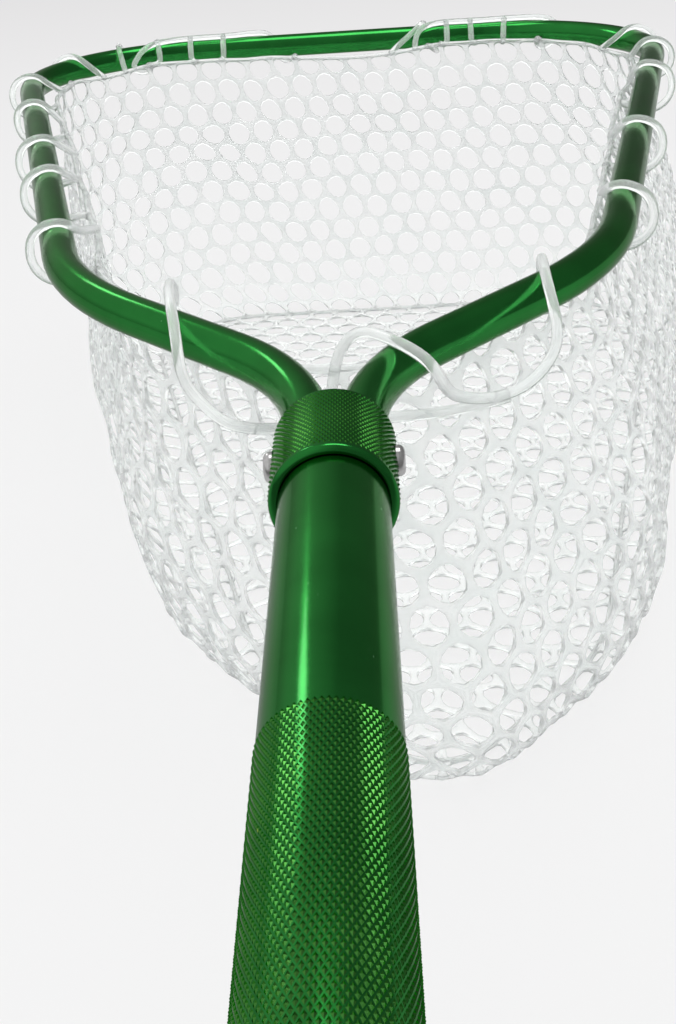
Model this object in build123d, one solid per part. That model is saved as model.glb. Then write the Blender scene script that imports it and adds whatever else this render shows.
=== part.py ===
from build123d import *
from math import radians, sin
import os

# Landing net with a bent tube hoop, a knurled collar, a tube handle and a moulded rubber net.
# It is built about the handle: the handle's axis is Y, the hoop lies ahead of it in the plane
# z = 0, and the net hangs below. At the end everything is moved so that the origin is the
# middle of the net's resting face. All sizes are millimetres.

# ---- handle tube, its grip and its threads ----
handle_od = 31.75
handle_wall = 2.0
smooth_length = 112.2          # plain tube between the grip and the collar
grip_length = 228.6            # diamond knurled length at the butt
grip_height = 0.1              # the band under the knurl stands this far above the plain tube
glue_gap = 0.05                # radial gap where one piece is bonded inside another
thread_gap = 0.08              # radial running gap of a screwed joint
socket_gap = 0.3               # radial gap between the handle tube and the collar's socket
end_gap = 0.1                  # gap between two faces that meet when a thread is tight

# ---- collar that joins the handle to the hoop ----
collar_wall = 2.7              # over the handle tube
collar_web = 1.7               # between the thread's bore and the legs' bores
collar_chamfer = 1.0           # front rim
collar_round = 2.0             # rear rim, a smooth lip
socket_depth = 6.1             # how far the handle tube enters the collar
thread_step = 0.475            # the thread is this much smaller in radius than the handle's bore
thread_length = 9.0            # six turns of a 1.5 mm pitch
thread_bore_spare = 0.3        # bore left open beyond the thread's end
spigot_hold = 30.0             # length of the spigot bonded inside the handle
spigot_wall = 4.4              # from the thread's crest to the spigot's bore

# ---- O-rings ----
ring_section = 1.7
ring_side_gap = 0.25
relief_gap = 0.45

# ---- hoop ----
hoop_od = 15.875
hoop_wall = 1.65
leg_gap = 0.725                # between the two legs inside the collar
leg_wall = 2.3                 # least collar wall outside a leg
leg_hold = 21.0                # length of each leg inside the collar
neck_reach = 48.7              # collar's front face to the corner where the arms set off
neck_radius = 100.0
shoulder_half_width = 111.5
shoulder_reach = 159.0
shoulder_radius = 185.0
far_half_width = 240.0
far_reach = 703.7
far_radius = 105.0
plug_short = 1.0               # each plug ends this far behind the collar's front

# ---- collar screws, M5 button heads ----
screw_radius = 2.5
screw_length = 12.0
screw_inset = 7.0              # from the rear ends of the hoop's legs
screw_clearance = 0.25
tap_gap = 0.05
head_radius = 4.75
head_height = 2.75
head_sink = 0.3                # the head's seat is cut this far into the collar
hex_radius = 1.75
hex_depth = 1.6

# ---- butt ----
insert_length = 14.0
insert_wall = 3.9
cap_thread_length = 8.0
cap_flange = 5.0
cap_edge = 1.5
cap_rise = 0.35                # the flange stands this far above the plain tube
eye_radius = 3.0
eye_tab_thickness = 9.0
eye_tab_width = 17.0
eye_tab_length = 14.0

# ---- net ----
net_depth = 205.0
net_wall = 1.0
net_floor = 1.0
net_back_gap = 18.3            # from the neck's corner to the net's near edge at the hoop
net_back_radius = 8.0
strand_radius = 2.1
strand_gap = 0.35
# share of the net's depth, and how far its outside there stands in from its rim's line
net_levels = [(0.0, 0.0), (0.08, 0.0), (0.34, -18.0), (0.68, -25.0), (0.9, -8.0), (1.0, 22.0)]
# share of the hoop's length, from the right leg round to the left, at which a loop goes round
loop_places = [
    0.110, 0.185, 0.240, 0.302, 0.372, 0.400, 0.425, 0.448, 0.482,
    0.530, 0.552, 0.574, 0.610, 0.665, 0.722, 0.765, 0.815, 0.890,
]

# ---- places along the handle's axis ----
collar_rear = -2.1             # the smooth lip; y = 0 is where the collar's knurl ends
tube_front = collar_rear + socket_depth - end_gap
grip_front = collar_rear - smooth_length
tube_rear = grip_front - grip_length
ring_groove = ring_section + 2 * ring_side_gap
thread_bore_end = tube_front + ring_groove + thread_length + thread_bore_spare
leg_rear = thread_bore_end + collar_web
collar_front = leg_rear + leg_hold
screw_y = leg_rear + screw_inset

# ---- radii and side distances from the handle's axis ----
handle_radius = handle_od / 2
handle_bore = handle_radius - handle_wall
thread_radius = handle_bore - thread_step
cap_thread_radius = handle_bore - insert_wall - thread_gap
ring_radius = ring_section / 2
ring_root = ring_radius + ring_side_gap      # depth of an O-ring's groove below its thread
hoop_radius = hoop_od / 2
hoop_bore = hoop_radius - hoop_wall
leg_x = hoop_radius + leg_gap / 2
collar_radius = max(handle_radius + collar_wall, leg_x + hoop_radius + leg_wall)
head_seat = collar_radius - head_sink
loop_radius = hoop_radius + strand_gap + strand_radius
net_inset = loop_radius + strand_radius + strand_gap


def rod(radius, rear, front, x=0.0):
    """A cylinder along Y from rear to front."""
    return Pos(x, rear, 0) * Rot(-90, 0, 0) * Cylinder(
        radius, front - rear, align=(Align.CENTER, Align.CENTER, Align.MIN)
    )


def cross_rod(radius, start, end, y):
    """A cylinder along X from start to end."""
    low, high = min(start, end), max(start, end)
    return Pos(low, y, 0) * Rot(0, 90, 0) * Cylinder(
        radius, high - low, align=(Align.CENTER, Align.CENTER, Align.MIN)
    )


def o_ring(centre_radius, y):
    return Pos(0, y, 0) * Rot(90, 0, 0) * Torus(centre_radius, ring_radius)


def hoop_corners():
    """The hoop's three corners on the right: neck, shoulder and far corner."""
    return [
        (leg_x, collar_front + neck_reach),
        (shoulder_half_width, collar_front + shoulder_reach),
        (far_half_width, collar_front + far_reach),
    ]


def hoop_path():
    right = hoop_corners()
    left = [(-x, y) for x, y in reversed(right)]
    points = [(leg_x, leg_rear)] + right + left + [(-leg_x, leg_rear)]
    radii = [neck_radius, shoulder_radius, far_radius, far_radius, shoulder_radius, neck_radius]
    return FilletPolyline(*points, radius=radii)


def make_hoop():
    path = hoop_path()
    ring = Circle(hoop_radius) - Circle(hoop_bore)
    tube = sweep(path.location_at(0) * ring, path=path)
    for side in (-1, 1):
        tube -= cross_rod(screw_radius + screw_clearance, side * leg_x, side * 2 * leg_x, screw_y)
    return tube


def make_plug(side):
    plug = rod(hoop_bore - glue_gap, leg_rear, collar_front - plug_short, side * leg_x)
    hole_end = head_seat - screw_length - 1.0
    return plug - cross_rod(screw_radius + tap_gap, side * hole_end, side * 2 * leg_x, screw_y)


def make_collar():
    body = rod(collar_radius, collar_rear, collar_front)
    body = fillet(body.edges().filter_by(GeomType.CIRCLE).sort_by(Axis.Y)[0], collar_round)
    body = chamfer(body.edges().filter_by(GeomType.CIRCLE).sort_by(Axis.Y)[-1], collar_chamfer)
    body -= rod(handle_radius + socket_gap, collar_rear, collar_rear + socket_depth)
    bore = thread_radius + thread_gap
    body -= rod(bore, collar_rear, thread_bore_end)
    body -= rod(bore + relief_gap + ring_radius, collar_rear, collar_rear + socket_depth + ring_groove)
    for side in (-1, 1):
        body -= rod(hoop_radius + glue_gap, leg_rear, collar_front, side * leg_x)
        body -= cross_rod(screw_radius + screw_clearance, side * leg_x, side * 2 * collar_radius, screw_y)
        body -= cross_rod(head_radius + screw_clearance, side * head_seat, side * 2 * collar_radius, screw_y)
    return body


def make_screw(side):
    shank = cross_rod(screw_radius, head_seat - screw_length, head_seat, screw_y)
    head = cross_rod(head_radius, head_seat, head_seat + head_height, screw_y)
    crown = head.edges().filter_by(GeomType.CIRCLE).sort_by(Axis.X)[-1]
    head = fillet(crown, head_height * 0.72)
    socket_plane = Plane((head_seat + head_height, screw_y, 0), x_dir=(0, 1, 0), z_dir=(1, 0, 0))
    socket = extrude(socket_plane * RegularPolygon(hex_radius, 6), -hex_depth)
    screw = shank + head - socket
    return screw if side > 0 else mirror(screw, about=Plane.YZ)


def make_handle_tube():
    tube = rod(handle_radius, grip_front, tube_front)
    grip = rod(handle_radius + grip_height, tube_rear, grip_front)
    ends = grip.edges().filter_by(GeomType.CIRCLE)
    tube += chamfer(ends, grip_height * 0.9)
    return tube - rod(handle_bore, tube_rear, tube_front)


def make_spigot():
    """Threaded plug bonded in the front of the handle tube."""
    rear = tube_front - spigot_hold
    thread_rear = tube_front + ring_groove
    front = thread_rear + thread_length
    spigot = rod(handle_bore - glue_gap, rear, tube_front)
    spigot += rod(thread_radius - ring_root, tube_front, thread_rear)
    spigot += rod(thread_radius, thread_rear, front)
    return spigot - rod(thread_radius - spigot_wall, rear, front)


def make_spigot_ring():
    y = tube_front + ring_side_gap + ring_radius
    return o_ring(thread_radius - ring_root + glue_gap + ring_radius, y)


def make_butt_insert():
    insert = rod(handle_bore - glue_gap, tube_rear, tube_rear + insert_length)
    bore = cap_thread_radius + thread_gap
    insert -= rod(bore, tube_rear, tube_rear + insert_length)
    return insert - rod(bore + relief_gap + ring_radius, tube_rear, tube_rear + ring_groove)


def make_butt_cap():
    face = tube_rear - end_gap
    flange = rod(handle_radius + cap_rise, face - cap_flange, face)
    flange = fillet(flange.edges().filter_by(GeomType.CIRCLE), cap_edge)
    stem = rod(cap_thread_radius - ring_root, face, face + ring_groove)
    stem += rod(cap_thread_radius, face + ring_groove, face + ring_groove + cap_thread_length)
    rear = face - cap_flange
    tab_rear = rear - eye_tab_length
    eye_y = tab_rear + eye_tab_width / 2
    tab = Pos(0, (eye_y + rear) / 2, 0) * Box(eye_tab_thickness, rear - eye_y, eye_tab_width)
    tab += cross_rod(eye_tab_width / 2, -eye_tab_thickness / 2, eye_tab_thickness / 2, eye_y)
    cap = flange + stem + tab
    return cap - cross_rod(eye_radius, -eye_tab_thickness, eye_tab_thickness, eye_y)


def make_butt_ring():
    y = tube_rear - end_gap + ring_side_gap + ring_radius
    return o_ring(cap_thread_radius - ring_root + glue_gap + ring_radius, y)


def drawn_in(corners, inset):
    """Corners of a closed convex outline after each of its sides moves inwards by inset."""
    moved = []
    for number, here in enumerate(corners):
        back = (corners[number - 1] - here).normalized()
        ahead = (corners[(number + 1) % len(corners)] - here).normalized()
        half_angle = radians(back.get_angle(ahead) / 2)
        moved.append(here + (back + ahead).normalized() * (inset / sin(half_angle)))
    return moved


def net_outline(inset):
    """The hoop's outline, closed off ahead of the collar and drawn in by inset."""
    neck, shoulder, far = [Vector(*corner) for corner in hoop_corners()]
    near = neck + (shoulder - neck) * (net_back_gap / (shoulder - neck).Y)
    right = [(corner.X, corner.Y) for corner in (near, shoulder, far)]
    left = [(-x, y) for x, y in reversed(right)]
    corners = drawn_in([Vector(x, y) for x, y in right + left], inset)
    radii = [net_back_radius, shoulder_radius - inset, far_radius - inset]
    return make_face(FilletPolyline(*corners, radius=radii + radii[::-1], close=True))


def net_solid(shrink, levels):
    """A solid whose side is ruled between outlines at the given depths and insets."""
    outlines = [
        Pos(0, 0, -depth) * net_outline(net_inset + inset + shrink) for depth, inset in levels
    ]
    return loft(outlines, ruled=True)


def make_net():
    """The bag: a thin wall and a flat floor, open at the top."""
    levels = [(net_depth * share, inset) for share, inset in net_levels]
    (top, top_inset), *middle, (bottom, bottom_inset) = levels
    inner = [(top - net_floor, top_inset), *middle, (bottom - net_floor, bottom_inset)]
    return net_solid(0.0, levels) - net_solid(net_wall, inner)


def make_loops():
    """One ring of the net's rim strand round the hoop at each place."""
    path = hoop_path()
    ring = Torus(loop_radius, strand_radius)
    return Compound([(path.location_at(place) * ring).solid() for place in loop_places])


parts = {
    "hoop_tube": make_hoop(),
    "hoop_plug_right": make_plug(1),
    "hoop_plug_left": make_plug(-1),
    "collar": make_collar(),
    "collar_screw_right": make_screw(1),
    "collar_screw_left": make_screw(-1),
    "handle_tube": make_handle_tube(),
    "handle_spigot": make_spigot(),
    "spigot_o_ring": make_spigot_ring(),
    "butt_insert": make_butt_insert(),
    "butt_cap": make_butt_cap(),
    "butt_o_ring": make_butt_ring(),
    "net_bag": make_net(),
    "net_rim_loops": make_loops(),
}

rear = parts["butt_cap"].bounding_box().min.Y
front = parts["net_rim_loops"].bounding_box().max.Y
to_origin = Pos(0, -(rear + front) / 2, net_depth)

os.makedirs("parts", exist_ok=True)
for name, part in parts.items():
    export_step(to_origin * part, f"parts/{name}.step")

print("moved by", tuple(round(v, 4) for v in to_origin.position))
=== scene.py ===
import math
import random
import bmesh
import bpy
from mathutils import Matrix, Vector, noise


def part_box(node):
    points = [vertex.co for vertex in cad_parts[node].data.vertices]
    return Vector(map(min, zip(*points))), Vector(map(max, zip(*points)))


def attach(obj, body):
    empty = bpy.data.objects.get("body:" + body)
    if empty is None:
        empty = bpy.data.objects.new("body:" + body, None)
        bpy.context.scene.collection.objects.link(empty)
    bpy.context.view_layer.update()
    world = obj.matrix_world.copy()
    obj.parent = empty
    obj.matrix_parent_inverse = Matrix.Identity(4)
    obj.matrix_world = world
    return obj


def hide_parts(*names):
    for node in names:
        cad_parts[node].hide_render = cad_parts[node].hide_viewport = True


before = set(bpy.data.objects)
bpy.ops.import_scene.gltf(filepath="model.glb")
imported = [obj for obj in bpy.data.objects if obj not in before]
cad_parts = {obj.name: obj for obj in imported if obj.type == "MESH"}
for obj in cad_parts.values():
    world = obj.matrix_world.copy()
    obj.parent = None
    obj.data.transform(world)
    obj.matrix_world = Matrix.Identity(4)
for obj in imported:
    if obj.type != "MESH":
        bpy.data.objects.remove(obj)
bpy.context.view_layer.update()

random.seed(7)

# where the frame's own nodes put things, in metres
collarLow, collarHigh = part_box("collar")
hoopLow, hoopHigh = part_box("hoop_tube")
tubeLow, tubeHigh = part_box("handle_tube")
bagLow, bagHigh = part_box("net_bag")
axisZ = (hoopLow.z + hoopHigh.z) / 2
collarFront = collarHigh.y
collarRear = collarLow.y

hoop = dict(
    radius=(hoopHigh.z - hoopLow.z) / 2,
    legX=0.0083, neckReach=0.0487, neckBend=0.100,
    shoulderX=0.1115, shoulderReach=0.1590, shoulderBend=0.185,
    farX=0.240, farReach=0.7037, farBend=0.105,
    legHold=0.021, steps=1200,
)
nearlyStraight = 1.56  # half the angle at a corner, in radians


def roundedRoute(corners, radii, closed=False, arcSteps=24):
    # straight runs joined by tangent arcs, as a list of points
    count = len(corners)
    route = []
    for i, here in enumerate(corners):
        if not closed and i in (0, count - 1):
            route.append(here.copy())
            continue
        back = (corners[i - 1] - here).normalized()
        ahead = (corners[(i + 1) % count] - here).normalized()
        half = back.angle(ahead) / 2
        if radii[i] == 0 or half > nearlyStraight:
            route.append(here.copy())
            continue
        centre = here + (back + ahead).normalized() * (radii[i] / math.sin(half))
        start = here + back * (radii[i] / math.tan(half))
        end = here + ahead * (radii[i] / math.tan(half))
        first, last = start - centre, end - centre
        hinge = first.cross(last)
        for step in range(arcSteps + 1):
            turn = Matrix.Rotation(first.angle(last) * step / arcSteps, 3, hinge)
            route.append(centre + turn @ first)
    return route


def evenly(route, count, closed=False):
    # the route again, as evenly spaced points
    points = route + [route[0]] if closed else route
    lengths = [0.0]
    for a, b in zip(points, points[1:]):
        lengths.append(lengths[-1] + (b - a).length)
    steps = count if closed else count - 1
    spaced, k = [], 0
    for i in range(count):
        want = lengths[-1] * i / steps
        while k < len(points) - 2 and lengths[k + 1] < want:
            k += 1
        span = max(lengths[k + 1] - lengths[k], 1e-9)
        spaced.append(points[k].lerp(points[k + 1], (want - lengths[k]) / span))
    return spaced


def hoopCorners():
    rows = [("legX", "neckReach"), ("shoulderX", "shoulderReach"), ("farX", "farReach")]
    return [Vector((hoop[x], collarFront + hoop[y], axisZ)) for x, y in rows]


def mirrored(points):
    return [Vector((-p.x, p.y, p.z)) for p in reversed(points)]


def hoopRoute():
    right = [Vector((hoop["legX"], collarFront - hoop["legHold"], axisZ))] + hoopCorners()
    bends = [0, hoop["neckBend"], hoop["shoulderBend"], hoop["farBend"]]
    return evenly(roundedRoute(right + mirrored(right), bends + bends[::-1]), hoop["steps"] + 1)


def hoopPlace(share):
    # point on the hoop's axis, its direction there, and the way out of the hoop
    steps = hoop["steps"]
    i = min(max(int(share * steps), 1), steps - 2)
    along = (hoopLine[i + 1] - hoopLine[i - 1]).normalized()
    place = hoopLine[i].lerp(hoopLine[i + 1], share * steps - i)
    return place, along, along.cross(Vector((0, 0, 1))).normalized()


hoopLine = hoopRoute()
hoopLength = sum((b - a).length for a, b in zip(hoopLine, hoopLine[1:]))


class Shade:
    # one socket of a node tree; arithmetic on it adds Math nodes
    def __init__(self, tree, socket=None):
        self.tree = tree
        self.socket = socket

    def node(self, kind, inputs=None, output=0, **settings):
        made = self.tree.nodes.new(kind)
        for name, value in settings.items():
            setattr(made, name, value)
        for name, value in (inputs or {}).items():
            if isinstance(value, Shade):
                self.tree.links.new(value.socket, made.inputs[name])
            else:
                made.inputs[name].default_value = value
        return Shade(self.tree, made.outputs[output]) if made.outputs else None

    def math(self, operation, *values):
        return self.node("ShaderNodeMath", dict(enumerate(values)), operation=operation)

    def __add__(self, other):
        return self.math("ADD", self, other)

    def __radd__(self, other):
        return self.math("ADD", other, self)

    def __sub__(self, other):
        return self.math("SUBTRACT", self, other)

    def __rsub__(self, other):
        return self.math("SUBTRACT", other, self)

    def __mul__(self, other):
        return self.math("MULTIPLY", self, other)

    def __rmul__(self, other):
        return self.math("MULTIPLY", other, self)

    def mixed(self, first, second):
        # this value blends one colour into the other
        return self.node(
            "ShaderNodeMix", {0: self, 6: first, 7: second}, output=2, data_type="RGBA"
        )

    def between(self, low, high):
        return self.node("ShaderNodeMapRange", {0: self, 1: low, 2: high, 3: 0.0, 4: 1.0})


def newMaterial(name):
    made = bpy.data.materials.new(name)
    made.use_nodes = True
    made.node_tree.nodes.clear()
    return made, Shade(made.node_tree)


def surface(shade, inputs):
    skin = shade.node("ShaderNodeBsdfPrincipled", inputs)
    shade.node("ShaderNodeOutputMaterial", {"Surface": skin})


def objectPoint(shade, scale=(1, 1, 1)):
    point = shade.node("ShaderNodeTexCoord", output="Object")
    return shade.node("ShaderNodeMapping", {"Vector": point, "Scale": scale})


def noiseOn(shade, scale, stretch=(1, 1, 1), **detail):
    inputs = {"Vector": objectPoint(shade, stretch), "Scale": scale, **detail}
    return shade.node("ShaderNodeTexNoise", inputs, output="Fac")


# sizes of the anodising's pattern, as texture scales
anodising = dict(
    cloud=38.0, grain=900.0, scratch=420.0, patch=120.0, scratchStretch=(1.0, 0.22, 1.0),
    scratchEdge=(0.03, 0.09), patchEdge=(0.60, 0.66), relief=0.00004, coatRoughness=0.06,
)


def anodised(name, settings):
    made, shade = newMaterial(name)
    cloud = noiseOn(shade, anodising["cloud"], Detail=3.0)
    grain = noiseOn(shade, anodising["grain"], settings["grainStretch"], Detail=2.0)
    # short fine scratches, sparse and mostly along the tube
    cells = shade.node(
        "ShaderNodeTexVoronoi",
        {
            "Vector": objectPoint(shade, anodising["scratchStretch"]),
            "Scale": anodising["scratch"], "Randomness": 1.0,
        },
        output="Distance",
    )
    patch = noiseOn(shade, anodising["patch"], Detail=1.0)
    streaks = 1.0 - cells.between(*anodising["scratchEdge"])
    scratch = streaks * patch.between(*anodising["patchEdge"]) * settings["wear"]
    tint = cloud.between(0.3, 0.7).mixed(settings["deep"], settings["bright"])
    colour = scratch.mixed(tint, settings["worn"])
    rough = settings["roughness"] + 0.05 * cloud + 0.04 * grain + 0.25 * scratch
    relief = shade.node(
        "ShaderNodeBump",
        {"Strength": settings["bump"], "Distance": anodising["relief"], "Height": grain},
    )
    surface(shade, {
        "Base Color": colour, "Metallic": 1.0, "Roughness": rough, "Normal": relief,
        "Coat Weight": settings["coat"], "Coat Roughness": anodising["coatRoughness"], "Coat IOR": 1.5,
        "Specular Tint": settings["edge"],
    })
    return made


def steel(name):
    made, shade = newMaterial(name)
    turned = noiseOn(shade, 2200.0, (0.15, 1, 1))
    stain = noiseOn(shade, 300.0)
    colour = stain.between(0.35, 0.7).mixed((0.62, 0.61, 0.60, 1), (0.80, 0.80, 0.80, 1))
    relief = shade.node("ShaderNodeBump", {"Strength": 0.12, "Distance": 0.00003, "Height": turned})
    surface(shade, {
        "Base Color": colour, "Metallic": 1.0, "Roughness": 0.18 + 0.12 * turned, "Normal": relief,
    })
    return made


def blackRubber():
    made, shade = newMaterial("sealRubber")
    speck = noiseOn(shade, 1500.0)
    colour = speck.mixed((0.012, 0.012, 0.012, 1), (0.03, 0.03, 0.03, 1))
    relief = shade.node("ShaderNodeBump", {"Strength": 0.2, "Distance": 0.00005, "Height": speck})
    surface(shade, {"Base Color": colour, "Roughness": 0.5 + 0.2 * speck, "Normal": relief})
    return made


def plainAluminium():
    made, shade = newMaterial("plainAluminium")
    turned = noiseOn(shade, 700.0, (1, 6, 1))
    colour = turned.mixed((0.70, 0.71, 0.72, 1), (0.84, 0.85, 0.86, 1))
    surface(shade, {"Base Color": colour, "Metallic": 1.0, "Roughness": 0.25 + 0.15 * turned})
    return made


netFinish = dict(
    dull=(0.90, 0.93, 0.92, 1), bright=(0.97, 0.98, 0.975, 1),
    roughness=0.12, bending=1.36, clearness=0.80,
)


def clearRubber():
    made, shade = newMaterial("netRubber")
    cloud = noiseOn(shade, 55.0, Detail=3.0)
    skin = noiseOn(shade, 700.0, Detail=2.0)
    colour = cloud.between(0.3, 0.7).mixed(netFinish["dull"], netFinish["bright"])
    relief = shade.node("ShaderNodeBump", {"Strength": 0.25, "Distance": 0.0001, "Height": skin})
    surface(shade, {
        "Base Color": colour, "Normal": relief,
        "Roughness": netFinish["roughness"] + 0.12 * cloud + 0.05 * skin,
        "IOR": netFinish["bending"], "Transmission Weight": netFinish["clearness"],
    })
    return made


tubeFinish = dict(
    deep=(0.018, 0.205, 0.034, 1), bright=(0.026, 0.265, 0.046, 1), worn=(0.30, 0.60, 0.36, 1),
    edge=(0.55, 0.58, 0.52, 1), roughness=0.13, bump=0.15, coat=0.14, wear=0.8, grainStretch=(1, 0.12, 1),
)
knurlFinish = dict(
    deep=(0.036, 0.185, 0.034, 1), bright=(0.085, 0.290, 0.056, 1), worn=(0.40, 0.50, 0.10, 1),
    edge=(0.10, 0.36, 0.12, 1), roughness=0.15, bump=0.3, coat=0.0, wear=1.0, grainStretch=(1, 1, 1),
)
materials = {
    "tube": anodised("anodisedTube", tubeFinish),
    "knurl": anodised("anodisedKnurl", knurlFinish),
    "steel": steel("screwSteel"),
    "aluminium": plainAluminium(),
    "seal": blackRubber(),
    "net": clearRubber(),
}
nodeFinish = {
    "hoop_tube": "tube", "handle_tube": "tube", "butt_cap": "tube", "collar": "tube",
    "hoop_plug_right": "aluminium", "hoop_plug_left": "aluminium", "handle_spigot": "aluminium",
    "butt_insert": "aluminium", "collar_screw_right": "steel", "collar_screw_left": "steel",
    "spigot_o_ring": "seal", "butt_o_ring": "seal", "net_bag": "net", "net_rim_loops": "net",
}
for node, finish in nodeFinish.items():
    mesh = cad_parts[node].data
    mesh.materials.clear()
    mesh.materials.append(materials[finish])
print("materials done")


def addPiece(name, mesh, material, body):
    if isinstance(mesh, bmesh.types.BMesh):
        data = bpy.data.meshes.new(name)
        mesh.to_mesh(data)
        mesh.free()
    else:
        data = mesh
    made = bpy.data.objects.new(name, data)
    bpy.context.scene.collection.objects.link(made)
    data.materials.clear()
    data.materials.append(materials[material])
    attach(made, body)
    return made


gripKnurl = dict(
    plain=0.1104, around=67, pitch=0.00283, height=0.00046, lip=0.0006, below=0.00014, sink=0.0003,
    frontGap=0.0001,
)
collarKnurl = dict(
    around=78, pitch=0.00285, height=0.00046, front=0.0009, rear=0.0022, below=0.00014, sink=0.0003,
    seatDepth=0.0004, screwMargin=0.0006,
)


def knurlSleeve(radius, start, end, shape):
    # a ring of small pyramids round the handle's axis, closed by a wall sunk into the metal
    bm = bmesh.new()
    radius -= shape["below"]
    rows = max(2, round((end - start) / shape["pitch"]))
    bmesh.ops.create_grid(bm, x_segments=shape["around"], y_segments=rows, size=0.5)
    for v in bm.verts:
        turn, along = v.co.x * math.tau, v.co.y + 0.5
        v.co = (radius * math.sin(turn), start + (end - start) * along, radius * math.cos(turn))
    bmesh.ops.remove_doubles(bm, verts=bm.verts, dist=1e-6)
    squares = [e for e in bm.edges if not e.is_boundary]
    bmesh.ops.poke(bm, faces=bm.faces)
    bmesh.ops.dissolve_edges(bm, edges=squares, use_verts=False)
    for v in bm.verts:
        flat = Vector((v.co.x, 0, v.co.z)).normalized() * radius
        v.co = (flat.x, v.co.y, flat.z)
    bmesh.ops.recalc_face_normals(bm, faces=bm.faces)
    bm.faces.ensure_lookup_table()
    first = bm.faces[0]
    centre = first.calc_center_median()
    if first.normal.dot(Vector((centre.x, 0, centre.z))) < 0:
        bmesh.ops.reverse_faces(bm, faces=bm.faces)
    diamonds = [f for f in bm.faces if len(f.verts) == 4]
    bmesh.ops.poke(bm, faces=diamonds, offset=shape["height"])
    rims = [e for e in bm.edges if e.is_boundary]
    walls = bmesh.ops.extrude_edge_only(bm, edges=rims)["geom"]
    inner = [g for g in walls if isinstance(g, bmesh.types.BMVert)]
    for v in inner:
        v.co.x *= 1 - shape["sink"] / radius
        v.co.z *= 1 - shape["sink"] / radius
    rims = [e for e in bm.edges if e.is_boundary]
    bmesh.ops.bridge_loops(bm, edges=rims)
    bmesh.ops.recalc_face_normals(bm, faces=bm.faces)
    bmesh.ops.translate(bm, verts=bm.verts, vec=(0, 0, axisZ))
    return bm


def sinkRound(bm, screwBox, margin):
    # the knurl round a screw drops below the flat that its head sits on
    low, high = screwBox
    middle = (low + high) / 2
    reach = (high.z - low.z) / 2 + margin
    seat = collarHigh.x - collarKnurl["seatDepth"]
    for v in bm.verts:
        away = math.hypot(v.co.y - middle.y, v.co.z - middle.z)
        if away < reach and v.co.x * middle.x > 0:
            v.co.x = math.copysign(min(abs(v.co.x), seat), v.co.x)


def buildKnurls():
    tubeRadius = (tubeHigh.z - tubeLow.z) / 2
    gripFront = collarRear - gripKnurl["plain"]
    gripRear = tubeLow.y + gripKnurl["lip"]
    bm = knurlSleeve(tubeRadius, gripRear, gripFront - gripKnurl["frontGap"], gripKnurl)
    addPiece("gripKnurl", bm, "knurl", "handle")
    collarRadius = (collarHigh.z - collarLow.z) / 2
    bm = knurlSleeve(
        collarRadius, collarRear + collarKnurl["rear"], collarFront - collarKnurl["front"], collarKnurl
    )
    for screw in ("collar_screw_left", "collar_screw_right"):
        sinkRound(bm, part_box(screw), collarKnurl["screwMargin"])
    addPiece("collarKnurl", bm, "knurl", "head")


buildKnurls()
print("knurls done")


net = dict(
    columns=90, rows=13, strand=0.0013, thick=0.0018, zigzag=0.0034,
    nearY=0.0670, nearBend=0.030, lean=0.018, swing=0.016, sag=0.0045, jitter=0.0012,
    loopRadius=0.0021, rimRadius=0.0015, hemRadius=0.0014,
    rimSlack=0.005, rimPull=0.003, lowest=0.0016, swellScale=9.0, rippleScale=28.0, rollScale=17.0,
)
bagFloor = dict(
    cell=0.0195, rowStep=0.866, bend=0.25, bendShare=0.62, looseness=1.4, liftScale=14.0, lift=0.006,
    weld=0.0015, sliver=0.0005,
)
# share of the bag's depth, and how far it stands in from the hoop's axis
bagProfile = [
    (0.020, 0.0138), (0.15, 0.011), (0.36, 0.001), (0.58, -0.005),
    (0.76, -0.004), (0.90, 0.004), (0.97, 0.016), (0.995, 0.030),
]


def drawnIn(corners, inset):
    moved = []
    for i, here in enumerate(corners):
        back = (corners[i - 1] - here).normalized()
        ahead = (corners[(i + 1) % len(corners)] - here).normalized()
        half = back.angle(ahead) / 2
        moved.append(here + (back + ahead).normalized() * (inset / math.sin(half)))
    return moved


def bagLine(inset, count):
    # the hoop's outline drawn in by inset, closed ahead of the collar, starting at its near middle
    neck, shoulder, far = hoopCorners()
    nearY = collarFront + net["nearY"]
    near = neck.lerp(shoulder, (nearY - neck.y) / (shoulder.y - neck.y))
    right = [near, shoulder, far]
    corners = drawnIn(right + mirrored(right), inset)
    bends = [net["nearBend"], hoop["shoulderBend"] - inset, hoop["farBend"] - inset]
    middle = (corners[0] + corners[-1]) / 2
    route = roundedRoute([middle] + corners, [0] + bends + bends[::-1], closed=True)
    return evenly(route, count, closed=True)


def profilePlaces(count):
    # rows spaced evenly down the bag's side
    depth = bagHigh.z - bagLow.z
    points = [Vector((inset, share * depth, 0)) for share, inset in bagProfile]
    smooth = []
    for i in range(len(points) - 1):
        a, b = points[max(i - 1, 0)], points[i]
        c, d = points[i + 1], points[min(i + 2, len(points) - 1)]
        for step in range(8):
            t = step / 8
            bow, twist = 2 * a - 5 * b + 4 * c - d, 3 * b - a - 3 * c + d
            smooth.append(0.5 * (2 * b + (c - a) * t + bow * t * t + twist * t ** 3))
    smooth.append(points[-1])
    return [(p.x, p.y) for p in evenly(smooth, count)]


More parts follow.
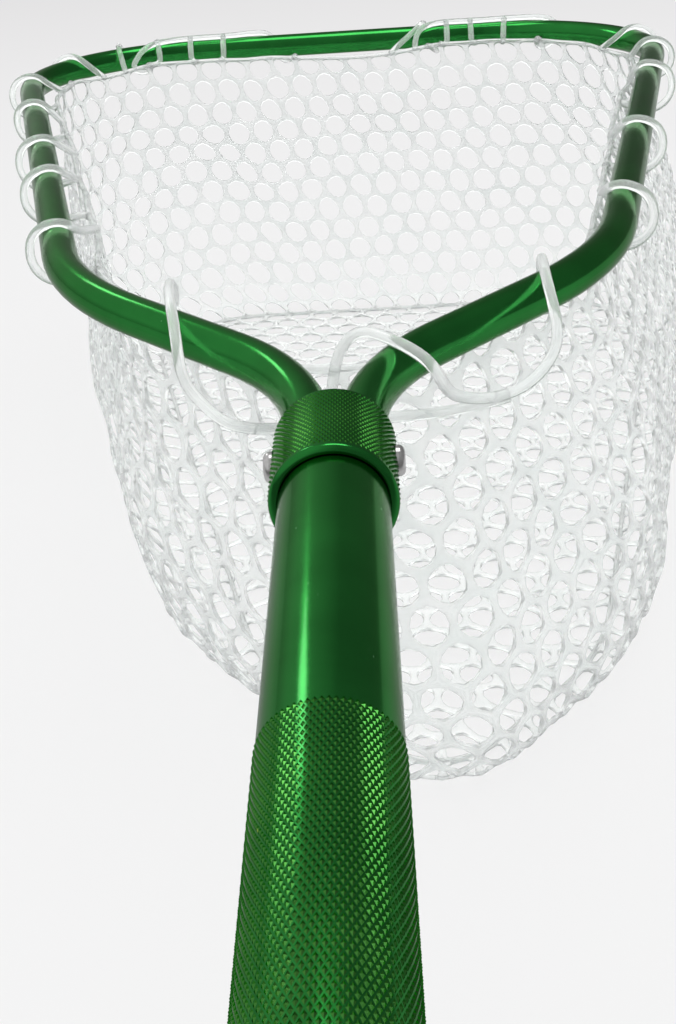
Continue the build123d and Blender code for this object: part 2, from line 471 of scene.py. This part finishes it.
# each loop round the hoop: its share of the hoop's length, then in metres along the tube how far ahead
# its strand rises, how far it slants over the top, how far it bulges outside and where it comes back
loops = [
    (0.154, 0.050, 0.006, 0.006, -0.024), (0.222, 0.034, 0.003, 0.006, -0.026),
    (0.302, 0.036, 0.004, 0.007, -0.034), (0.345, 0.014, 0.006, 0.004, -0.018),
    (0.372, 0.018, 0.005, 0.005, -0.016), (0.614, 0.016, 0.006, 0.004, -0.016),
    (0.652, 0.024, 0.004, 0.005, -0.030), (0.700, 0.010, -0.003, 0.003, -0.026),
    (0.756, 0.028, 0.006, 0.005, -0.030), (0.795, 0.020, 0.008, 0.004, -0.028),
    (0.850, 0.045, 0.002, 0.004, -0.022),
]
farLoops = [0.400, 0.425, 0.442, 0.460, 0.530, 0.550, 0.565, 0.579]


def festoon(share):
    # nought at a loop, one midway between two loops
    place = 0.06 + 0.88 * share
    edges = sorted([0.03, 0.11, 0.89, 0.97] + [row[0] for row in loops] + farLoops)
    for a, b in zip(edges, edges[1:]):
        if a <= place <= b:
            return math.sin(math.pi * (place - a) / (b - a)) * min(1.0, (b - a) / 0.06)
    return 0.0


def hung(point, share, depthShare):
    # sag, lean and slack of the soft bag
    fade = math.sin(math.pi * min(1.0, 0.12 + 0.88 * depthShare)) ** 0.5
    swell = noise.noise(point * net["swellScale"] + Vector((3.1, 0, 0))) * net["sag"] * 2.0
    ripple = noise.noise(point * net["rippleScale"]) * net["sag"]
    centre = Vector((0, (bagLow.y + bagHigh.y) / 2, point.z))
    out = (point - centre).normalized()
    moved = point + out * (swell + ripple) * fade
    lean = math.sin(math.pi * 0.5 * min(1.0, depthShare * 1.5))
    moved.x += net["lean"] * lean + net["swing"] * depthShare ** 3
    moved.z += noise.noise(point * net["rollScale"] + Vector((0, 5, 0))) * net["sag"] * fade
    return moved


def weave(bm, column, row):
    # a square lattice with every other cross edge taken out, staggered, is a lattice of six-sided cells
    def isCross(edge):
        a, b = edge.verts
        return a[column] == b[column] and (a[column] + min(a[row], b[row])) % 2 == 1

    bmesh.ops.dissolve_edges(bm, edges=[e for e in bm.edges if isCross(e)], use_verts=False)


def strandsFrom(bm):
    # leave a ribbon along every edge; Solidify and Subdivision make round strands of them
    cells = bm.faces[:]
    bmesh.ops.inset_individual(bm, faces=cells, thickness=net["strand"], use_even_offset=True)
    bmesh.ops.delete(bm, geom=cells, context="FACES")


def finishStrands(piece):
    thick = piece.modifiers.new("thickness", "SOLIDIFY")
    thick.thickness, thick.offset = net["thick"], 0.0
    smooth = piece.modifiers.new("roundness", "SUBSURF")
    smooth.levels = smooth.render_levels = 1
    for polygon in piece.data.polygons:
        polygon.use_smooth = True


def buildWall():
    columns, rows = net["columns"] * 2, net["rows"]
    bm = bmesh.new()
    bmesh.ops.create_grid(bm, x_segments=columns, y_segments=rows, size=0.5)
    places = profilePlaces(rows + 1)
    lines = [bagLine(inset, columns) for inset, depth in places]
    column = bm.verts.layers.int.new("column")
    row = bm.verts.layers.int.new("row")
    depth = bagHigh.z - bagLow.z
    # both ends of a row take the same shift, so the seam welds all the way down
    shifts = {}
    for v in bm.verts:
        i, j = round((v.co.x + 0.5) * columns), round((v.co.y + 0.5) * rows)
        v[column], v[row] = i % columns, j
        drop = places[j][1]
        point = lines[j][i % columns].copy()
        zigzag = 0.0 if j in (0, rows) else (-net["zigzag"] if (i + j) % 2 else net["zigzag"])
        point.z = bagHigh.z - drop - zigzag
        if j == 0:
            slack = festoon(i / columns)
            point.z -= net["rimSlack"] * slack
            middle = Vector((0, (bagLow.y + bagHigh.y) / 2, point.z))
            point += (middle - point).normalized() * net["rimPull"] * slack
        v.co = hung(point, i / columns, drop / depth)
        if 0 < j < rows:
            shift = Vector([random.uniform(-1, 1) for axis in range(3)]) * net["jitter"]
            v.co += shifts.setdefault((i % columns, j), shift)
        v.co.z = max(v.co.z, bagLow.z + net["lowest"])
    loose = len(bm.verts)
    bmesh.ops.remove_doubles(bm, verts=bm.verts, dist=1e-6)
    print("wall seam welded at", loose - len(bm.verts), "of", rows + 1, "points")

    def placesOf(level):
        ring = sorted((v for v in bm.verts if v[row] == level), key=lambda v: v[column])
        return [v.co.copy() for v in ring]

    rim, hem = placesOf(0), placesOf(rows)
    weave(bm, column, row)
    bmesh.ops.recalc_face_normals(bm, faces=bm.faces)
    strandsFrom(bm)
    piece = addPiece("netWall", bm, "net", "head")
    finishStrands(piece)
    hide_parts("net_bag")
    return rim, hem


def insideLine(point, line):
    crossings = 0
    for a, b in zip(line, line[1:] + line[:1]):
        if (a.y > point.y) != (b.y > point.y):
            if point.x < a.x + (point.y - a.y) * (b.x - a.x) / (b.y - a.y):
                crossings += 1
    return crossings % 2 == 1


def buildFloor(hem):
    cell, rowStep = bagFloor["cell"], bagFloor["rowStep"]
    low = Vector((min(p.x for p in hem), min(p.y for p in hem)))
    high = Vector((max(p.x for p in hem), max(p.y for p in hem)))
    columns = 2 * round((high.x - low.x) / cell) + 4
    rows = round((high.y - low.y) / (cell * rowStep)) + 2
    bm = bmesh.new()
    bmesh.ops.create_grid(bm, x_segments=columns, y_segments=rows, size=0.5)
    middle = (low + high) / 2
    column = bm.verts.layers.int.new("column")
    row = bm.verts.layers.int.new("row")
    for v in bm.verts:
        i, j = round((v.co.x + 0.5) * columns), round((v.co.y + 0.5) * rows)
        v[column], v[row] = i, j
        bend = -bagFloor["bend"] if (i + j) % 2 else bagFloor["bend"]
        x = middle.x + (i - columns / 2) * cell / 2
        y = middle.y + (j - rows / 2 + bend * bagFloor["bendShare"]) * cell * rowStep
        v.co = (x, y, bagLow.z)

    weave(bm, column, row)
    outside = [f for f in bm.faces if not insideLine(f.calc_center_median(), hem)]
    bmesh.ops.delete(bm, geom=outside, context="FACES")
    for v in bm.verts:
        if v.is_boundary:
            v.co = min(hem, key=lambda p: (p.xy - v.co.xy).length).copy()
        else:
            shift = Vector((random.uniform(-1, 1), random.uniform(-1, 1), 0))
            v.co += shift * net["jitter"] * bagFloor["looseness"]
            lift = 0.5 + 0.5 * noise.noise(Vector((v.co.x, v.co.y, 0)) * bagFloor["liftScale"])
            v.co.z = bagLow.z + net["lowest"] + bagFloor["lift"] * lift * lift
    bmesh.ops.remove_doubles(bm, verts=bm.verts, dist=bagFloor["weld"])
    bmesh.ops.dissolve_degenerate(bm, edges=bm.edges, dist=bagFloor["sliver"])
    bmesh.ops.recalc_face_normals(bm, faces=bm.faces)
    strandsFrom(bm)
    finishStrands(addPiece("netFloor", bm, "net", "head"))


def strandCurve(name, routes, radius, closed=False):
    data = bpy.data.curves.new(name, "CURVE")
    data.dimensions = "3D"
    data.bevel_depth = radius
    data.bevel_resolution = 2
    data.resolution_u = 5
    data.use_fill_caps = not closed
    for route in routes:
        spline = data.splines.new("NURBS")
        spline.points.add(len(route) - 1)
        for point, place in zip(spline.points, route):
            point.co = (*place, 1.0)
        spline.use_cyclic_u = closed
        spline.use_endpoint_u = not closed
        spline.order_u = 4
    drawn = bpy.data.objects.new(name + "Route", data)
    bpy.context.scene.collection.objects.link(drawn)
    bpy.context.view_layer.update()
    mesh = bpy.data.meshes.new_from_object(drawn.evaluated_get(bpy.context.evaluated_depsgraph_get()))
    bpy.data.objects.remove(drawn)
    for polygon in mesh.polygons:
        polygon.use_smooth = True
    return mesh


def nearestOn(line, point):
    return min(line, key=lambda p: (p - point).length)


def onTube(share, angle, lift=0.0, shift=0.0):
    # a place on the hoop's skin; the angle runs from outwards through the top
    place, along, out = hoopPlace(share + shift / hoopLength)
    turn = math.radians(angle)
    reach = (hoop["radius"] + net["loopRadius"]) * 1.05 + lift
    return place + (out * math.cos(turn) + Vector((0, 0, math.sin(turn)))) * reach


def loopRoute(row, rim):
    # up from the rim, over the tube, round its outside, under it and back to the rim
    share, lead, skew, slack, tail = row
    side = 1 if share < 0.5 else -1
    turns = [
        (158, 0.0, skew * 1.1), (122, 0.0, skew * 0.6), (85, 0.0, 0.0),
        (50, slack * 0.2, -skew * 0.4), (15, slack * 0.7, -skew * 0.8), (-25, slack, tail * 0.5),
        (-65, slack * 0.6, tail * 0.8), (-105, 0.001, tail), (-150, 0.003, tail * 1.2),
    ]
    route = [onTube(share, angle, lift, side * shift) for angle, lift, shift in turns]
    first = nearestOn(rim, onTube(share, 200, 0.010, side * (skew + lead)))
    last = nearestOn(rim, onTube(share, 200, 0.006, side * tail * 1.3))
    return [first, first.lerp(route[0], 0.5)] + route + [last]


# strands lying on the far bar: metres from its middle, angle round it, and height off it
farStrands = [
    [(-0.166, 196, 0.004), (-0.158, 168, 0), (-0.150, 135, 0), (-0.138, 114, 0), (-0.115, 106, 0),
     (-0.095, 110, 0), (-0.078, 104, 0), (-0.064, 92, 0), (-0.056, 62, 0), (-0.052, 25, 0.003),
     (-0.049, -15, 0.005), (-0.046, -60, 0.003), (-0.040, -110, 0.001), (-0.032, -160, 0.003)],
    [(0.040, 200, 0.005), (0.050, 170, 0), (0.058, 135, 0), (0.062, 95, 0), (0.064, 55, 0),
     (0.066, 15, 0.003), (0.070, -25, 0.005), (0.074, -70, 0.002), (0.072, -120, 0.001),
     (0.066, -165, 0.003)],
    [(0.056, 150, 0), (0.066, 118, 0.001), (0.082, 106, 0), (0.100, 110, 0), (0.120, 105, 0),
     (0.138, 100, 0), (0.150, 84, 0), (0.157, 48, 0), (0.160, 8, 0.004), (0.158, -35, 0.005),
     (0.153, -80, 0.002),
     (0.150, -130, 0.001), (0.152, -175, 0.003)],
    [(-0.172, 120, 0.001), (-0.168, 80, 0), (-0.164, 40, 0.001), (-0.160, 0, 0.005), (-0.156, -50, 0.005),
     (-0.150, -100, 0.002), (-0.146, -150, 0.003)],
]
farTies = [-0.139, -0.113, -0.088, 0.080, 0.098, 0.124]
farTie = [(106, 0), (135, 0), (170, 0.001), (205, 0.004)]


def farRoutes(rim):
    routes = []
    for strand in farStrands:
        route = [onTube(0.5, angle, lift, -s) for s, angle, lift in strand]
        ends = [nearestOn(rim, route[i]) for i in (0, -1)]
        routes.append([ends[0]] + route + [ends[1]])
    for s in farTies:
        drop = random.uniform(-0.012, 0.012)
        route = [onTube(0.5, angle, lift, -s) for angle, lift in farTie]
        routes.append(route + [nearestOn(rim, onTube(0.5, 215, 0.012, drop - s))])
    return routes


# strands round the arms and the legs, given in millimetres from the collar's front on the axis
leftArmStrand = [
    (-70, 172, -14), (-67, 160, -4), (-66, 146, 6), (-64, 124, 11), (-61, 105, 11.5), (-58, 88, 8),
    (-56, 75, 1), (-55, 74, -8), (-50, 71, -14), (-42, 60, -17), (-36, 57, -19), (-26, 62, -23),
    (-14, 68, -26),
]
rightArmStrand = [
    (84, 168, -14), (83, 158, -2), (81, 146, 8), (79, 124, 12), (78, 104, 11), (79, 88, 5),
    (80, 84, -5), (74, 77, -12), (64, 66, -15), (52, 60, -15), (42, 54, -11), (37, 44, -4),
    (35, 39, 3), (31, 39, 9.5), (25, 46, 11.5), (18, 58, 11), (10, 72, 9), (4, 77, 4),
    (0, 80, -4), (-2, 78, -12), (-3, 76, -19), (-4, 74, -25),
]
crossStrand = [(-30, 62, -22), (-14, 66, -25), (0, 72, -26), (20, 70, -24), (42, 62, -20), (60, 64, -16)]


def fromCollar(points):
    return [Vector((x / 1000, collarFront + y / 1000, axisZ + z / 1000)) for x, y, z in points]


def buildRim(rim, hem):
    for name, ring, radius in (("netRim", rim, net["rimRadius"]), ("netHem", hem, net["hemRadius"])):
        addPiece(name, strandCurve(name, [ring[::2]], radius, True), "net", "head")
    routes = [loopRoute(row, rim) for row in loops] + farRoutes(rim)
    routes += [fromCollar(leftArmStrand), fromCollar(rightArmStrand), fromCollar(crossStrand)]
    strands = strandCurve("netLoops", routes, net["loopRadius"])
    piece = addPiece("netLoops", strands, "net", "head")
    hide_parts("net_rim_loops")


rimLine, hemLine = buildWall()
print("net wall done")
buildFloor(hemLine)
print("net floor done")
buildRim(rimLine, hemLine)
print("net rim and loops done")


studio = dict(
    floorSize=30.0, floorColour=(0.34, 0.34, 0.345, 1), glow=0.80, soft=1.55,
    # the floor's glow near and far: a pale backdrop with painted falloff of light
    near=(1.0, 1.0, 1.0, 1), far=(0.80, 0.79, 0.795, 1), backdrop=(0.80, 0.79, 0.795, 1),
    # the floor's dark colour near the camera and its fade are painted shade
    dim=0.19, overhead=0.06, left=0.40, nearFloorShade=(0.10, 0.10, 0.10, 1), floorDrop=0.0005,
    glowFalloff=(0.2, 3.0), nearShadeFade=(-0.60, -0.25),
    overheadFade=(0.60, 0.80), leftFade=(-0.15, 0.45), leftRise=(0.0, 0.2),
)
view = dict(
    x=0.01348, behind=0.37630, above=0.17964, heading=2.124, tilt=28.377, roll=-3.990, lens=48.05,
)
# place, the point it faces, its two sides and its power
lamps = {
    "leftBack": ((-0.81, 1.36, 1.14), (0, -0.30, 0.22), (0.22, 0.30), 1.0),
    "overhead": ((0.20, 0.66, 2.10), (0.20, 0.66, 0.20), (1.0, 0.95), 9.5),
}


def buildFloorPlane():
    bm = bmesh.new()
    bmesh.ops.create_grid(bm, x_segments=1, y_segments=1, size=studio["floorSize"] / 2)
    bmesh.ops.translate(bm, verts=bm.verts, vec=(0, 0, -studio["floorDrop"]))
    data = bpy.data.meshes.new("studioFloor")
    bm.to_mesh(data)
    bm.free()
    floor = bpy.data.objects.new("studioFloor", data)
    bpy.context.scene.collection.objects.link(floor)
    made, shade = newMaterial("studioFloor")
    seen = shade.node("ShaderNodeLightPath", output="Is Camera Ray")
    through = shade.node("ShaderNodeLightPath", output="Is Transmission Ray")
    forward = shade.node("ShaderNodeSeparateXYZ", {0: objectPoint(shade)}, output="Y")
    # the floor seen by the camera and through the net glows as a pale backdrop, white near the camera and
    # greying far off: painted falloff of light
    colour = forward.between(*studio["glowFalloff"]).mixed(studio["near"], studio["far"])
    # the floor's own colour goes near black close to and behind the camera: painted shade, which the
    # metal shows in its reflections
    shadedFloorColour = forward.between(*studio["nearShadeFade"]).mixed(studio["nearFloorShade"], studio["floorColour"])
    plain = shade.node("ShaderNodeBsdfDiffuse", {"Color": shadedFloorColour})
    glow = shade.node("ShaderNodeEmission", {"Color": colour, "Strength": 1.0})
    shown = shade.math("MAXIMUM", seen, through) * studio["glow"]
    skin = shade.node("ShaderNodeMixShader", {0: shown, 1: plain, 2: glow})
    shade.node("ShaderNodeOutputMaterial", {"Surface": skin})
    data.materials.append(made)


def buildSky():
    world = bpy.data.worlds.new("studio")
    world.use_nodes = True
    world.node_tree.nodes.clear()
    shade = Shade(world.node_tree)
    point = shade.node("ShaderNodeTexCoord", output="Generated")
    height = shade.node("ShaderNodeSeparateXYZ", {0: point}, output="Z")
    across = shade.node("ShaderNodeSeparateXYZ", {0: point}, output="X")
    over = height.between(*studio["overheadFade"]) * studio["overhead"]
    rise = 0.4 + 0.6 * height.between(*studio["leftRise"])
    left = (0.0 - across).between(*studio["leftFade"]) * rise * studio["left"]
    bright = studio["dim"] + over + left
    colour = shade.node("ShaderNodeCombineColor", {"Red": bright, "Green": bright, "Blue": bright})
    sky = shade.node("ShaderNodeBackground", {"Color": colour, "Strength": 1.0})
    soft = shade.node("ShaderNodeBackground", {"Color": (1, 1, 1, 1), "Strength": studio["soft"]})
    plain = shade.node("ShaderNodeBackground", {"Color": studio["backdrop"], "Strength": 1.0})
    through = shade.node("ShaderNodeLightPath", output="Is Transmission Ray")
    shiny = shade.node("ShaderNodeLightPath", output="Is Glossy Ray") * (1.0 - through)
    seen = shade.node("ShaderNodeLightPath", output="Is Camera Ray")
    lit = shade.node("ShaderNodeMixShader", {0: shiny, 1: soft, 2: sky})
    skin = shade.node("ShaderNodeMixShader", {0: seen, 1: lit, 2: plain})
    shade.node("ShaderNodeOutputWorld", {"Surface": skin})
    bpy.context.scene.world = world


def addLamp(name, place, target, size, power):
    data = bpy.data.lights.new(name, "AREA")
    data.shape = "RECTANGLE"
    data.size, data.size_y = size
    data.energy = power
    lamp = bpy.data.objects.new(name, data)
    lamp.location = place
    lamp.rotation_euler = (Vector(target) - Vector(place)).to_track_quat("-Z", "Y").to_euler()
    bpy.context.scene.collection.objects.link(lamp)


def buildCamera():
    data = bpy.data.cameras.new("viewpoint")
    data.lens = view["lens"]
    data.sensor_width = 36.0
    data.clip_start = 0.01
    camera = bpy.data.objects.new("viewpoint", data)
    turn = Matrix.Rotation(math.radians(view["heading"]), 4, "Z")
    turn = turn @ Matrix.Rotation(math.radians(90 - view["tilt"]), 4, "X")
    turn = turn @ Matrix.Rotation(math.radians(view["roll"]), 4, "Z")
    camera.matrix_world = Matrix.Translation(
        (view["x"], collarFront - view["behind"], axisZ + view["above"])
    ) @ turn
    bpy.context.scene.collection.objects.link(camera)
    bpy.context.scene.camera = camera


buildFloorPlane()
buildSky()
for name, lamp in lamps.items():
    addLamp(name, *lamp)
buildCamera()
bpy.context.scene.view_settings.view_transform = "Standard"
print("studio done")
